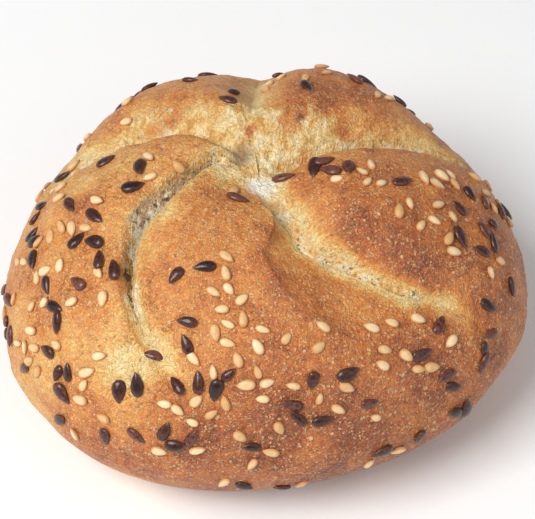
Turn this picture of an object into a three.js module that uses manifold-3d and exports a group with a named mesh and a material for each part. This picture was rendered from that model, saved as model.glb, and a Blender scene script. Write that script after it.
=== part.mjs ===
// A round seeded bread roll with a five-cut star on top.
// The crust is one baked dome. Five curved cuts run out from a pinched middle and leave five petals.
// Sesame seeds and linseeds lie half sunk in the crust.
// Millimetres, Z up, and the roll rests on Z = 0.
import * as THREE from "three";
import { mergeVertices } from "three/addons/utils/BufferGeometryUtils.js";
import Module from "manifold-3d";

const wasm = await Module();
wasm.setup();

// The baked dome, before the cuts.
const dome = {
  width: 105.5, // mean width
  height: 58.5,
  widestHeight: 22.3, // height of the widest level above the table
  restShare: 0.58, // share of the width that lies flat on the table
  topPower: 1.95, // 2 is an ellipse, and more is squarer
  bellyPower: 1.9,
  oval: 0.052, // longer this much towards ovalTowards
  ovalTowards: 11.7,
  lopsided: 0.03, // three soft corners, the first towards lopsidedTowards
  lopsidedTowards: -17,
};

// The five cuts, in degrees anticlockwise. At a share r of the dome's radius a cut lies at
// start + swirl * r, and each bend moves it sideways round one place. It deepens between the two
// shares in opens, and is smooth again at the share in end.
// before and after are its flanks, clockwise and anticlockwise of it: their widths near the middle
// and near the rim in millimetres, and the power by which they drop into the cut.
// crown is the puff of the petal after it, and columns is the number of facets across that petal.
const cuts = [
  {
    start: 42,
    opens: [0.02, 0.2],
    swirl: -24,
    bends: [],
    depth: 5,
    end: 1.02,
    crown: 3.2,
    columns: 10,
    before: { widths: [5, 5], power: 2.3 },
    after: { widths: [13, 6], power: 1.7 },
  },
  {
    start: 100.5,
    opens: [0.2, 0.65],
    swirl: -12,
    bends: [],
    depth: 3,
    end: 1.02,
    crown: 2.6,
    columns: 10,
    before: { widths: [8, 8], power: 1.8 },
    after: { widths: [8, 8], power: 1.8 },
  },
  {
    start: 107,
    opens: [0.1, 0.3],
    swirl: 69,
    bends: [],
    depth: 4.4,
    end: 1.02,
    crown: 1.8,
    columns: 11,
    before: { widths: [10, 13], power: 1.4 },
    after: { widths: [5, 5], power: 2.4 },
  },
  {
    start: 140,
    opens: [0.13, 0.27],
    swirl: 127,
    bends: [{ at: 0.2, width: 0.05, by: -18 }, { at: 0.36, width: 0.08, by: 6.5 }],
    depth: 4.2,
    end: 0.95,
    crown: 2.2,
    columns: 16,
    before: { widths: [2.9, 1], power: 0.6 },
    after: { widths: [5, 5], power: 2.3 },
  },
  {
    start: 281.5,
    opens: [0.02, 0.2],
    swirl: 57,
    bends: [{ at: 0.4, width: 0.08, by: -6.5 }],
    depth: 4.4,
    end: 0.97,
    crown: 2.8,
    columns: 12,
    before: { widths: [2, 14], power: 0.5 },
    after: { widths: [11, 11], power: 2 },
  },
];
const cutFades = 0.55; // share of its own end where it starts to fade
// Shares of the radius between which a flank goes from its first to its second width.
const flanksWiden = [0.2, 0.6];

const pinch = { depth: 4.6, width: 9 }; // the pressed middle, where the cuts meet
const reliefEnds = 2.35; // angle from the top, in radians, below which the belly is smooth

// Unevenness of the baked dough: a sum of slow waves.
const lumps = { height: 0.4, length: 25, waves: 7 };

// Swellings, knobs and dents of the crust, by angle in degrees and by angle from the top in radians.
const knobs = [
  { angle: 184, fromTop: 0.83, width: 3.4, height: 1.1 },
  { angle: 125, fromTop: 0.17, width: 2.6, height: -1.6 },
  { angle: 232, fromTop: 1.08, width: 6, height: -0.8 },
  { angle: 331, fromTop: 0.92, width: 6, height: -0.8 },
  { angle: 345, fromTop: 1.45, width: 20, height: 1.3 },
  { angle: 285, fromTop: 1.85, width: 20, height: 0.7 },
  { angle: 68, fromTop: 0.75, width: 11, height: 1 },
];

// The two kinds of seed. sink is the share of the thickness below the crust.
// outline is half of the seed seen from above, blunt end first: shares of the width and of the length.
const seedKinds = {
  pale: {
    length: 3.2,
    width: 2.1,
    thickness: 1.2,
    sink: 0.3,
    sides: 5,
    outline: [[0, -0.5], [0.5, -0.12], [0, 0.5]],
  },
  dark: {
    length: 4.4,
    width: 2.5,
    thickness: 1.5,
    sink: 0.25,
    sides: 4,
    outline: [[0, -0.5], [0.46, -0.24], [0.44, 0.14], [0, 0.5]],
  },
};
const seedGap = 2.7; // least distance between the middles of two seeds
const seedKeepsOut = 1.5; // no seed lies where the cuts are deeper than this
const seedSizeSpread = 0.13;

// Where the seeds stick: sectors of the crust with how many of each kind.
// from and to are degrees, near and far are angles from the top in radians.
const sprinkles = [
  { from: 8, to: 24, near: 0.08, far: 0.13, pale: 0, dark: 1 },
  { from: 210, to: 240, near: 0.1, far: 0.16, pale: 1, dark: 1 },
  { from: -4, to: 18, near: 0.18, far: 0.27, pale: 0, dark: 3 },
  { from: -10, to: 6, near: 0.28, far: 0.44, pale: 5, dark: 1 },
  { from: -20, to: 14, near: 0.5, far: 0.82, pale: 13, dark: 3 },
  { from: -18, to: 4, near: 0.76, far: 1.02, pale: 2, dark: 6 },
  { from: -42, to: -12, near: 1.02, far: 1.4, pale: 1, dark: 7 },
  { from: 0, to: 18, near: 0.9, far: 1.25, pale: 5, dark: 2 },
  { from: 300, to: 326, near: 0.82, far: 1.16, pale: 9, dark: 2 },
  { from: 276, to: 302, near: 0.95, far: 1.3, pale: 5, dark: 6 },
  { from: 318, to: 330, near: 1.5, far: 1.68, pale: 0, dark: 2 },
  { from: 295, to: 312, near: 1.55, far: 1.75, pale: 2, dark: 2 },
  { from: 245, to: 296, near: 0.55, far: 0.92, pale: 14, dark: 2 },
  { from: 236, to: 258, near: 0.28, far: 0.62, pale: 3, dark: 2 },
  { from: 250, to: 272, near: 0.88, far: 1.1, pale: 7, dark: 3 },
  { from: 244, to: 278, near: 1.12, far: 1.5, pale: 9, dark: 4 },
  { from: 260, to: 282, near: 1.75, far: 1.95, pale: 2, dark: 2 },
  { from: 226, to: 250, near: 0.92, far: 1.18, pale: 3, dark: 4 },
  { from: 222, to: 242, near: 1.3, far: 1.58, pale: 2, dark: 4 },
  { from: 202, to: 228, near: 0.95, far: 1.4, pale: 8, dark: 6 },
  { from: 188, to: 220, near: 0.68, far: 1.02, pale: 12, dark: 7 },
  { from: 168, to: 194, near: 0.62, far: 1.1, pale: 4, dark: 6 },
  { from: 165, to: 186, near: 0.3, far: 0.55, pale: 3, dark: 2 },
  { from: 184, to: 215, near: 1.15, far: 1.5, pale: 5, dark: 5 },
  { from: 66, to: 112, near: 0.42, far: 0.7, pale: 3, dark: 3 },
  { from: 26, to: 88, near: 0.6, far: 1.3, pale: 9, dark: 8 },
  { from: 96, to: 166, near: 0.65, far: 1.3, pale: 8, dark: 9 },
  { from: 10, to: 176, near: 1.3, far: 1.7, pale: 10, dark: 8 },
];

const rows = 28; // rows of facets from top to table
const columnCrowding = 0.62; // how far the columns crowd towards the cuts, below 1

const degrees = Math.PI / 180;
const equator = Math.PI / 2;

// 0 below low, 1 above high, and smooth between.
function ramp(low, high, value) {
  const t = THREE.MathUtils.clamp((value - low) / (high - low), 0, 1);
  return t * t * (3 - 2 * t);
}

// Random numbers from 0 to 1 that come out the same each time.
function makeDice(start) {
  let state = start;
  return () => {
    state = (state * 16807) % 2147483647;
    return state / 2147483647;
  };
}

// Radius share and height of the dome at an angle from the top.
// That angle runs to 180 degrees at the edge of the flat base.
function domeProfile(fromTop) {
  const across = Math.abs(Math.sin(fromTop));
  const along = Math.abs(Math.cos(fromTop));
  if (fromTop < equator) {
    const rise = dome.height - dome.widestHeight;
    const height = dome.widestHeight + rise * along ** (2 / dome.topPower);
    return { share: across ** (2 / dome.topPower), height };
  }
  const share = dome.restShare + (1 - dome.restShare) * across ** (2 / dome.bellyPower);
  return { share, height: dome.widestHeight * (1 - along ** (2 / dome.bellyPower)) };
}

function domeRadius(angle) {
  const oval = dome.oval * Math.cos(2 * (angle - dome.ovalTowards * degrees));
  const lopsided = dome.lopsided * Math.cos(3 * (angle - dome.lopsidedTowards * degrees));
  return (dome.width / 2) * (1 + oval + lopsided);
}

// The share of the radius that the cuts follow. Below the widest level they keep their angle.
function cutShare(fromTop) {
  return fromTop < equator ? domeProfile(fromTop).share : 1;
}

function cutAngle(index, share) {
  const cut = cuts[index % cuts.length];
  const turns = Math.floor(index / cuts.length);
  const bent = cut.bends.map(({ at, width, by }) => by * Math.exp(-(((share - at) / width) ** 2)));
  const bend = bent.reduce((sum, turned) => sum + turned, 0);
  return (cut.start + cut.swirl * share + bend + 360 * turns) * degrees;
}

// Which petal an angle is in, and how far across it, from 0 at one cut to 1 at the next.
function petalAt(angle, share) {
  const first = cutAngle(0, share);
  const fullTurn = 2 * Math.PI;
  const turned = first + ((((angle - first) % fullTurn) + fullTurn) % fullTurn);
  let petal = cuts.length - 1;
  while (turned < cutAngle(petal, share)) petal -= 1;
  const low = cutAngle(petal, share);
  const span = cutAngle(petal + 1, share) - low;
  return { petal, across: (turned - low) / span, span };
}

// How deep one flank is at a distance from its cut.
function flankDepth(cut, { widths, power }, distance, share) {
  const width = THREE.MathUtils.lerp(...widths, ramp(...flanksWiden, share));
  const left = Math.max(0, 1 - distance / width);
  const opening = ramp(...cut.opens, share);
  const closing = 1 - ramp(cutFades * cut.end, cut.end, share);
  return cut.depth * opening * closing * left ** power;
}

// The depth of the two cuts beside a point, and the puff of the petal that it is on.
function petalForm(angle, fromTop) {
  const share = cutShare(fromTop);
  const { petal, across, span } = petalAt(angle, share);
  const low = cuts[petal];
  const high = cuts[(petal + 1) % cuts.length];
  const arc = span * share * domeRadius(angle);
  const slant = (cut) => 1 / Math.hypot(1, share * cut.swirl * degrees);
  const lowFlank = flankDepth(low, low.after, across * arc * slant(low), share);
  const highFlank = flankDepth(high, high.before, (1 - across) * arc * slant(high), share);
  const rise = ramp(0.1, 0.45, share) * (1 - ramp(0.75, 1, share));
  return { carved: lowFlank + highFlank, puffed: low.crown * Math.sin(Math.PI * across) * rise };
}

// The height of the petals and cuts above the plain dome.
function petalRelief(angle, fromTop) {
  const { carved, puffed } = petalForm(angle, fromTop);
  const fromMiddle = cutShare(fromTop) * domeRadius(angle);
  const middle = pinch.depth * Math.exp(-((fromMiddle / pinch.width) ** 2));
  return puffed - carved - middle;
}

function lumpHeight(point) {
  const golden = Math.PI * (3 - Math.sqrt(5));
  let sum = 0;
  for (let wave = 0; wave < lumps.waves; wave += 1) {
    const turn = wave * golden;
    const along = point.x * Math.cos(turn) + point.y * Math.sin(turn) + point.z * Math.cos(2 * turn);
    const length = lumps.length * (0.7 + wave / lumps.waves);
    sum += Math.sin((2 * Math.PI * along) / length + wave);
  }
  return (lumps.height * sum) / Math.sqrt(lumps.waves);
}

function plainDomePoint(angle, fromTop) {
  const { share, height } = domeProfile(fromTop);
  const radius = share * domeRadius(angle);
  return new THREE.Vector3(radius * Math.cos(angle), radius * Math.sin(angle), height);
}

function knobHeight(point) {
  let sum = 0;
  for (const knob of knobs) {
    const centre = plainDomePoint(knob.angle * degrees, knob.fromTop);
    sum += knob.height * Math.exp(-((point.distanceTo(centre) / knob.width) ** 2));
  }
  return sum;
}

// A point of the crust, by angle round the roll and angle from its top.
function crustPoint(angle, fromTop) {
  const point = plainDomePoint(angle, fromTop);
  const outward = new THREE.Vector3(
    Math.cos(angle) * Math.sin(fromTop),
    Math.sin(angle) * Math.sin(fromTop),
    Math.cos(fromTop),
  );
  const shaped = petalRelief(angle, fromTop) + lumpHeight(point) + knobHeight(point);
  const fade = 1 - ramp(equator, reliefEnds, fromTop);
  return point.addScaledVector(outward, shaped * fade);
}

// The way the crust faces at a point, from three points close together.
function crustNormal(angle, fromTop) {
  const step = 0.02;
  const here = crustPoint(angle, fromTop);
  const round = crustPoint(angle + step, fromTop).sub(here);
  const down = crustPoint(angle, fromTop + step).sub(here);
  return down.cross(round).normalize();
}

// The columns of facets, petal by petal. across runs from 0 at one cut to 1 at the next.
// The columns crowd towards the cuts, so that their creases are sharp.
const columns = cuts.flatMap((cut, petal) =>
  Array.from({ length: cut.columns }, (unused, column) => {
    const even = column / cut.columns;
    const crowding = (columnCrowding * Math.sin(2 * Math.PI * even)) / (2 * Math.PI);
    return { petal, across: even - crowding };
  }),
);

function columnAngle({ petal, across }, share) {
  return THREE.MathUtils.lerp(cutAngle(petal, share), cutAngle(petal + 1, share), across);
}

// The bare roll: a sphere's grid drawn over the crust, with its last ring closed flat on the table.
function makeCrust() {
  const grid = new THREE.SphereGeometry(1, columns.length, rows);
  const position = grid.getAttribute("position");
  for (let i = 0; i < position.count; i += 1) {
    const row = Math.floor(i / (columns.length + 1));
    if (row === rows) {
      position.setXYZ(i, 0, 0, 0);
      continue;
    }
    const column = columns[i % (columns.length + 1) % columns.length];
    const fromTop = (Math.PI * row) / (rows - 1);
    const point = crustPoint(columnAngle(column, cutShare(fromTop)), fromTop);
    position.setXYZ(i, point.x, point.y, row === rows - 1 ? 0 : point.z);
  }
  return grid;
}

// A seed: a flattened teardrop, pointed end along +X, lying flat.
function makeSeedShape({ length, width, thickness, sides, outline }) {
  const half = outline.map(([across, along]) => new THREE.Vector2(across * width, along * length));
  const shape = new THREE.LatheGeometry(half, sides);
  shape.rotateZ(-Math.PI / 2);
  shape.scale(1, 1, thickness / width);
  return shape;
}

// Draws the place, size and turn of each seed, sector by sector, and keeps them apart.
// Each lies on the facet of the crust that is under it.
function scatterSeeds(crust) {
  const dice = makeDice(41);
  const target = new THREE.Mesh(crust);
  const caster = new THREE.Raycaster();
  const seeds = [];
  const tries = 40;
  for (const sector of sprinkles) {
    for (const kind of ["dark", "pale"]) {
      for (let n = 0; n < sector[kind]; n += 1) {
        for (let attempt = 0; attempt < tries; attempt += 1) {
          const angle = (sector.from + (sector.to - sector.from) * dice()) * degrees;
          const fromTop = sector.near + (sector.far - sector.near) * dice();
          const point = crustPoint(angle, fromTop);
          if (petalForm(angle, fromTop).carved > seedKeepsOut) continue;
          if (seeds.some((seed) => seed.spot.distanceTo(point) < seedGap)) continue;
          const turn = Math.PI * 2 * dice();
          const size = 1 + seedSizeSpread * (2 * dice() - 1);
          const outward = crustNormal(angle, fromTop);
          caster.set(point.clone().addScaledVector(outward, 5), outward.clone().negate());
          const [hit] = caster.intersectObject(target);
          const place = { spot: point, point: hit.point, normal: hit.face.normal.clone() };
          seeds.push({ kind, ...place, turn, size });
          break;
        }
      }
    }
  }
  return seeds;
}

function solidFrom(geometry) {
  const bare = geometry.clone();
  bare.deleteAttribute("normal");
  bare.deleteAttribute("uv");
  const merged = mergeVertices(bare, 1e-4);
  const vertProperties = new Float32Array(merged.getAttribute("position").array);
  const triVerts = new Uint32Array(merged.index.array);
  return new wasm.Manifold(new wasm.Mesh({ numProp: 3, vertProperties, triVerts }));
}

function geometryFrom(solid) {
  const { vertProperties, triVerts } = solid.getMesh();
  const geometry = new THREE.BufferGeometry();
  geometry.setAttribute("position", new THREE.BufferAttribute(vertProperties, 3));
  geometry.setIndex(new THREE.BufferAttribute(triVerts, 1));
  return geometry;
}

function placeSeed(shape, seed) {
  const { sink, thickness } = seedKinds[seed.kind];
  const up = new THREE.Vector3(0, 0, 1);
  const lie = new THREE.Quaternion().setFromUnitVectors(up, seed.normal);
  const spin = new THREE.Quaternion().setFromAxisAngle(up, seed.turn);
  const raise = (0.5 - sink) * thickness * seed.size;
  const centre = seed.point.clone().addScaledVector(seed.normal, raise);
  const scale = new THREE.Vector3().setScalar(seed.size);
  return shape.clone().applyMatrix4(new THREE.Matrix4().compose(centre, lie.multiply(spin), scale));
}

// The roll with its seeds fused on, moved so that the middle of its box is over the origin.
function makeSeededRoll() {
  const shapes = {
    pale: makeSeedShape(seedKinds.pale),
    dark: makeSeedShape(seedKinds.dark),
  };
  const crust = makeCrust();
  const pieces = [solidFrom(crust)];
  for (const seed of scatterSeeds(crust)) {
    pieces.push(solidFrom(placeSeed(shapes[seed.kind], seed)));
  }
  const geometry = geometryFrom(wasm.Manifold.union(pieces));
  geometry.computeBoundingBox();
  const middle = geometry.boundingBox.getCenter(new THREE.Vector3());
  geometry.translate(-middle.x, -middle.y, -geometry.boundingBox.min.z);
  return geometry;
}

const crustMaterial = new THREE.MeshStandardMaterial({
  color: new THREE.Color().setRGB(0.82, 0.55, 0.32, THREE.SRGBColorSpace),
  roughness: 0.62,
  metalness: 0,
});

const roll = new THREE.Group();
const seededRoll = new THREE.Mesh(makeSeededRoll(), crustMaterial);
seededRoll.name = "seeded_roll";
roll.add(seededRoll);

export default roll;
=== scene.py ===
import math

import bpy
import numpy as np
from mathutils import Matrix, Vector, noise


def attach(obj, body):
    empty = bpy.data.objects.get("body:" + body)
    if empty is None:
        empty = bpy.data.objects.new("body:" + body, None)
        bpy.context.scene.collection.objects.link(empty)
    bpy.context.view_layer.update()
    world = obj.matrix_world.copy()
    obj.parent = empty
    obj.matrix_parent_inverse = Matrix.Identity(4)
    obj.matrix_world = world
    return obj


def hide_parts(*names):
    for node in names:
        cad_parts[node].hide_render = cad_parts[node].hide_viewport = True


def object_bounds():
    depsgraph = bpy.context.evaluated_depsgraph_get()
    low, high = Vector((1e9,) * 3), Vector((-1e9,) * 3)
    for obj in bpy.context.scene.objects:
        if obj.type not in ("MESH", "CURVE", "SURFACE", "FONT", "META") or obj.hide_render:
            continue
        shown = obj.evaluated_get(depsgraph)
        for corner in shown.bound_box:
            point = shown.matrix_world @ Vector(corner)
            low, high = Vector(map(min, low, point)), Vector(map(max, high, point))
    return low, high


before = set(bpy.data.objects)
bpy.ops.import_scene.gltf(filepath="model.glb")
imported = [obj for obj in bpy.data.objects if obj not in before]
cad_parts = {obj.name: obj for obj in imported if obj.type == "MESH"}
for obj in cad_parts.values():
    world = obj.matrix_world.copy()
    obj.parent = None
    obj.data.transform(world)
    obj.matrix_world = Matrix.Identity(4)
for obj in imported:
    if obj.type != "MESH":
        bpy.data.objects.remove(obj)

cadLow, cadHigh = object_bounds()  # the plain solid's box
mm = 0.001
degree = math.pi / 180
equator = math.pi / 2
bpy.ops.object.select_all(action="DESELECT")

# The baked dome before the cuts, in millimetres, as in the solid.
dome = {
    "width": 105.5,
    "height": 58.5,
    "widestHeight": 22.3,
    "restShare": 0.58,
    "topPower": 1.95,
    "bellyPower": 1.9,
    "oval": 0.052,
    "ovalTowards": 11.7,
    "lopsided": 0.03,
    "lopsidedTowards": -17,
}

# Five cuts. At a share r of the radius a cut lies at start + swirl * r degrees, and each bend
# (at, width, by) pushes it aside round one place. It deepens between the two shares in opens and runs
# out at the share end. before and after are the widths of its flanks, clockwise and anticlockwise of it,
# near the middle and near the rim, and their powers say how steeply they drop into it. crown is the puff
# of the petal that follows it, and columns says how finely the mesh divides that petal.
cuts = [
    {
        "start": 42, "swirl": -24, "bends": [], "opens": (0.02, 0.2), "end": 1.02, "depth": 5.0,
        "before": (5, 5), "beforePower": 2.3, "after": (13, 6), "afterPower": 1.7,
        "crown": 3.2, "columns": 80,
    },
    {
        "start": 100.5, "swirl": -12, "bends": [], "opens": (0.2, 0.65), "end": 1.02, "depth": 3.0,
        "before": (8, 8), "beforePower": 1.8, "after": (8, 8), "afterPower": 1.8,
        "crown": 2.6, "columns": 70,
    },
    {
        "start": 107, "swirl": 69, "bends": [], "opens": (0.1, 0.3), "end": 1.02, "depth": 4.4,
        "before": (10, 13), "beforePower": 1.4, "after": (5, 5), "afterPower": 2.4,
        "crown": 1.8, "columns": 90,
    },
    {
        "start": 140, "swirl": 127, "bends": [(0.2, 0.05, -18), (0.36, 0.08, 6.5)],
        "opens": (0.13, 0.27), "end": 0.95, "depth": 4.2,
        "before": (2.9, 1.0), "beforePower": 0.6, "after": (5, 5), "afterPower": 2.3,
        "crown": 2.2, "columns": 145,
    },
    {
        "start": 281.5, "swirl": 57, "bends": [(0.4, 0.08, -6.5)],
        "opens": (0.02, 0.2), "end": 0.97, "depth": 4.4,
        "before": (2, 14), "beforePower": 0.5, "after": (11, 11), "afterPower": 2.0,
        "crown": 2.8, "columns": 115,
    },
]
leftCut = 3
rightCut = 4
frontPetal = 3

petals = {
    "cutFades": 0.55,
    "flanksWiden": (0.2, 0.6),
    "crownRises": (0.1, 0.45),
    "crownFalls": (0.75, 1),
    "pinchDepth": 4.6,
    "pinchWidth": 9,
    "reliefEnds": 2.35,  # radians from the top
    "lumpHeight": 0.4,
    "lumpLength": 25,
    "lumpWaves": 7,
}

# Swellings, knobs and dents, by angle in degrees and by angle from the top in radians.
knobs = [
    {"angle": 184, "fromTop": 0.83, "width": 3.4, "height": 1.1},
    {"angle": 125, "fromTop": 0.17, "width": 2.6, "height": -1.6},
    {"angle": 232, "fromTop": 1.08, "width": 6, "height": -0.8},
    {"angle": 331, "fromTop": 0.92, "width": 6, "height": -0.8},
    {"angle": 345, "fromTop": 1.45, "width": 20, "height": 1.3},
    {"angle": 285, "fromTop": 1.85, "width": 20, "height": 0.7},
    {"angle": 68, "fromTop": 0.75, "width": 11, "height": 1},
]


def ramp(low, high, value):
    t = np.clip((value - low) / (high - low), 0, 1)
    return t * t * (3 - 2 * t)


def domeProfile(fromTop):
    across = np.abs(np.sin(fromTop))
    along = np.abs(np.cos(fromTop))
    widest = dome["widestHeight"]
    topShare = across ** (2 / dome["topPower"])
    topHeight = widest + (dome["height"] - widest) * along ** (2 / dome["topPower"])
    lowShare = dome["restShare"] + (1 - dome["restShare"]) * across ** (2 / dome["bellyPower"])
    lowHeight = widest * (1 - along ** (2 / dome["bellyPower"]))
    above = fromTop < equator
    return np.where(above, topShare, lowShare), np.where(above, topHeight, lowHeight)


def domeRadius(angle):
    oval = dome["oval"] * np.cos(2 * (angle - dome["ovalTowards"] * degree))
    lopsided = dome["lopsided"] * np.cos(3 * (angle - dome["lopsidedTowards"] * degree))
    return dome["width"] / 2 * (1 + oval + lopsided)


def cutShare(fromTop):
    return np.where(fromTop < equator, domeProfile(fromTop)[0], 1)


def cutAngle(index, share):
    cut = cuts[index % len(cuts)]
    bend = sum(by * np.exp(-((share - at) / width) ** 2) for at, width, by in cut["bends"])
    return (cut["start"] + cut["swirl"] * share + bend + 360 * (index // len(cuts))) * degree


def cutValues(name):
    return np.array([cut[name] for cut in cuts], dtype=float)


# For each point, both values of a pair that a list holds for each cut.
def pairAt(values, index):
    return values[:, 0][index], values[:, 1][index]


# Where each point is among the petals: its petal, and how far it is from the cuts beside it.
def placeInPetal(angle, fromTop):
    share = cutShare(fromTop)
    first = cutAngle(0, share)
    turned = first + np.mod(angle - first, 2 * math.pi)
    petal = np.zeros(np.shape(turned), dtype=int)
    for index in range(1, len(cuts)):
        petal = np.where(turned >= cutAngle(index, share), index, petal)
    edges = np.array([cutAngle(index, share) for index in range(len(cuts) + 1)])
    low = np.take_along_axis(edges, petal[None], 0)[0]
    high = np.take_along_axis(edges, petal[None] + 1, 0)[0]
    across = (turned - low) / (high - low)
    arc = (high - low) * share * domeRadius(angle)
    following = (petal + 1) % len(cuts)
    slant = 1 / np.hypot(1, share[None] * cutValues("swirl").reshape(-1, *[1] * np.ndim(share)) * degree)
    slantLow = np.take_along_axis(slant, petal[None], 0)[0]
    slantHigh = np.take_along_axis(slant, following[None], 0)[0]
    return {
        "share": share,
        "petal": petal,
        "following": following,
        "across": across,
        "fromLow": across * arc * slantLow,
        "fromHigh": (1 - across) * arc * slantHigh,
    }


def flankWidth(index, side, share):
    near, far = pairAt(cutValues(side), index)
    return near + (far - near) * ramp(*petals["flanksWiden"], share)


def flankDepth(index, side, distance, share):
    end = cutValues("end")[index]
    left = np.maximum(0, 1 - distance / flankWidth(index, side, share))
    opening = ramp(*pairAt(cutValues("opens"), index), share)
    closing = 1 - ramp(petals["cutFades"] * end, end, share)
    return cutValues("depth")[index] * opening * closing * left ** cutValues(side + "Power")[index]


# The depth of the two cuts beside a point, and the puff of the petal that it is on.
def petalForm(angle, fromTop):
    place = placeInPetal(angle, fromTop)
    share = place["share"]
    lowFlank = flankDepth(place["petal"], "after", place["fromLow"], share)
    highFlank = flankDepth(place["following"], "before", place["fromHigh"], share)
    rise = ramp(*petals["crownRises"], share) * (1 - ramp(*petals["crownFalls"], share))
    crown = cutValues("crown")[place["petal"]]
    return lowFlank + highFlank, crown * np.sin(math.pi * place["across"]) * rise


def petalRelief(angle, fromTop):
    carved, puffed = petalForm(angle, fromTop)
    fromMiddle = cutShare(fromTop) * domeRadius(angle)
    middle = petals["pinchDepth"] * np.exp(-((fromMiddle / petals["pinchWidth"]) ** 2))
    return puffed - carved - middle


def lumpHeight(points):
    golden = math.pi * (3 - math.sqrt(5))
    total = 0
    for wave in range(petals["lumpWaves"]):
        turn = wave * golden
        along = points[0] * math.cos(turn) + points[1] * math.sin(turn) + points[2] * math.cos(2 * turn)
        length = petals["lumpLength"] * (0.7 + wave / petals["lumpWaves"])
        total = total + np.sin(2 * math.pi * along / length + wave)
    return petals["lumpHeight"] * total / math.sqrt(petals["lumpWaves"])


def plainDomePoint(angle, fromTop):
    share, height = domeProfile(fromTop)
    radius = share * domeRadius(angle)
    return np.array([radius * np.cos(angle), radius * np.sin(angle), height])


def knobCentre(knob):
    return plainDomePoint(np.float64(knob["angle"] * degree), np.float64(knob["fromTop"]))


knobCentres = [knobCentre(knob) for knob in knobs]


def knobHeight(points):
    total = 0
    for knob, centre in zip(knobs, knobCentres):
        offset = points - centre.reshape(3, *[1] * (points.ndim - 1))
        total = total + knob["height"] * np.exp(-np.sum(offset ** 2, axis=0) / knob["width"] ** 2)
    return total


def outwardFrom(angle, fromTop):
    return np.array([np.cos(angle) * np.sin(fromTop), np.sin(angle) * np.sin(fromTop), np.cos(fromTop)])


def crustPoint(angle, fromTop):
    angle = np.asarray(angle, dtype=float)
    fromTop = np.asarray(fromTop, dtype=float)
    points = plainDomePoint(angle, fromTop)
    shaped = petalRelief(angle, fromTop) + lumpHeight(points) + knobHeight(points)
    fade = 1 - ramp(equator, petals["reliefEnds"], fromTop)
    return points + outwardFrom(angle, fromTop) * shaped * fade


def crustNormal(angle, fromTop):
    step = 0.02
    here = crustPoint(angle, fromTop)
    around = crustPoint(angle + step, fromTop) - here
    down = crustPoint(angle, fromTop + step) - here
    return Vector(np.cross(down, around)).normalized()


def noiseOf(points, length, offset=0.0):
    return np.array([noise.noise(point) for point in (points.T / length + offset).tolist()])


# The crust: a sphere's grid laid over the dough. Lengths and heights are those of the relief.
crust = {
    "rows": 199,
    "topRows": 160,  # close rows over the dome
    "sideRows": 28,  # wide rows down to the base
    "topEnds": 1.72,  # radians from the top where the wide rows begin
    "columnCrowding": 0.45,
    "broadLength": 6.0,
    "raggedLength": 1.7,
    "fineLength": 0.8,
    "fibreHeight": 0.2,
    "strandScale": (0.75, 0.35, 0.4),  # across, from front to back and upwards, per millimetre
    "grainHeight": 0.16,
    "wrinkleHeight": 0.34,
    "wrinkleLength": 4.0,
    "brimHeight": 1.1,
    "brimWidth": 1.1,
    "unbaked": 0.12,  # how much paler than plain dough the pale sides are
}

# How far the broad and the ragged noise push the edges of the pale dough and the bare crumb about.
edgeSways = {"pale": (0.3, 0.08), "torn": (0.35, 0.22), "bare": (0.5, 0.15)}

# How wide the pale dough is on each side of a cut, near the middle and near the rim.
paleSides = [
    {"before": (1.5, 1.0), "after": (15, 9), "strength": 0.55, "ends": 1.0},
    {"before": (9.0, 8.0), "after": (4.0, 3.0), "strength": 0.7, "ends": 1.0},
    {"before": (14, 11), "after": (2.0, 2.0), "strength": 0.75, "ends": 1.05},
    # beside the left cut the pale edge of the front petal is pale dough and also a painted highlight on
    # the edge that faces the light
    {"before": (1.5, 0.6), "after": (9.0, 4.2), "strength": 0.9, "ends": 0.95},
    {"before": (2.5, 4.0), "after": (9.0, 3.5), "strength": 0.88, "ends": 0.97},
]

# Where the crust is torn open and the crumb shows: at a cut and on one side of it, over a width, and
# between two shares of the radius. hollow is how deep it is pulled out, dark how shaded it is and white
# how floury.
tornZones = [
    {"at": (0, "after"), "width": 10.5, "span": (0.0, 0.5), "white": 0.1},
    {"at": (0, "after"), "width": 2.6, "span": (0.4, 0.95), "hollow": 0.3, "white": 0.3},
    {"at": (1, "after"), "width": 9.0, "span": (0.0, 0.44), "white": 0.1},
    {"at": (1, "before"), "width": 9.0, "span": (0.0, 0.42), "white": 0.1},
    {"at": (2, "before"), "width": 8.0, "span": (0.0, 0.72)},
    {"at": (2, "before"), "width": 2.8, "span": (0.4, 0.95), "hollow": 0.5, "white": 0.5},
    {"at": (2, "before"), "width": 1.6, "span": (0.5, 0.92), "hollow": 0.4, "dark": 0.5, "white": 0.4},
    {"at": (3, "before"), "width": 3.1, "span": (0.2, 0.54), "hollow": 0.7, "dark": 1.0},
    {"at": (3, "before"), "width": 0.9, "span": (0.36, 0.78), "hollow": 0.3, "dark": 0.3, "white": 0.1},
    # the white edge of the front petal: torn crumb and also a painted highlight on the side facing the
    # light
    {"at": (3, "after"), "width": 2.6, "span": (0.12, 0.74), "white": 0.3},
    {"at": (3, "after"), "width": 1.3, "span": (0.28, 0.62), "white": 0.9},
    {"at": (4, "after"), "width": 2.6, "span": (0.1, 0.5), "hollow": 0.2, "dark": 0.2, "white": 0.35},
    {"at": (4, "after"), "width": 1.7, "span": (0.3, 0.82), "hollow": 0.4, "dark": 0.5, "white": 0.35},
    {"at": (4, "before"), "width": 1.0, "span": (0.15, 0.78), "hollow": 0.2, "dark": 0.45, "white": 0.3},
]

# Around the middle the crumb is bare, least so on the front petal.
bareMiddle = {"x": -3.0, "y": 5.0, "round": 9.5, "frontRound": 5.5}

# Crust left standing in the torn places.
islands = [
    {"x": -23.0, "y": 19.0, "width": 2.6},
    {"x": -18.0, "y": 20.0, "width": 2.4},
    {"x": -2.1, "y": 12.8, "width": 2.2},
    {"x": 9.5, "y": 7.0, "width": 2.0},
    {"x": 8.1, "y": 15.0, "width": 1.2},
    {"x": 17.0, "y": 14.5, "width": 1.0},
    {"x": -15.5, "y": 14.5, "width": 1.1},
]


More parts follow.
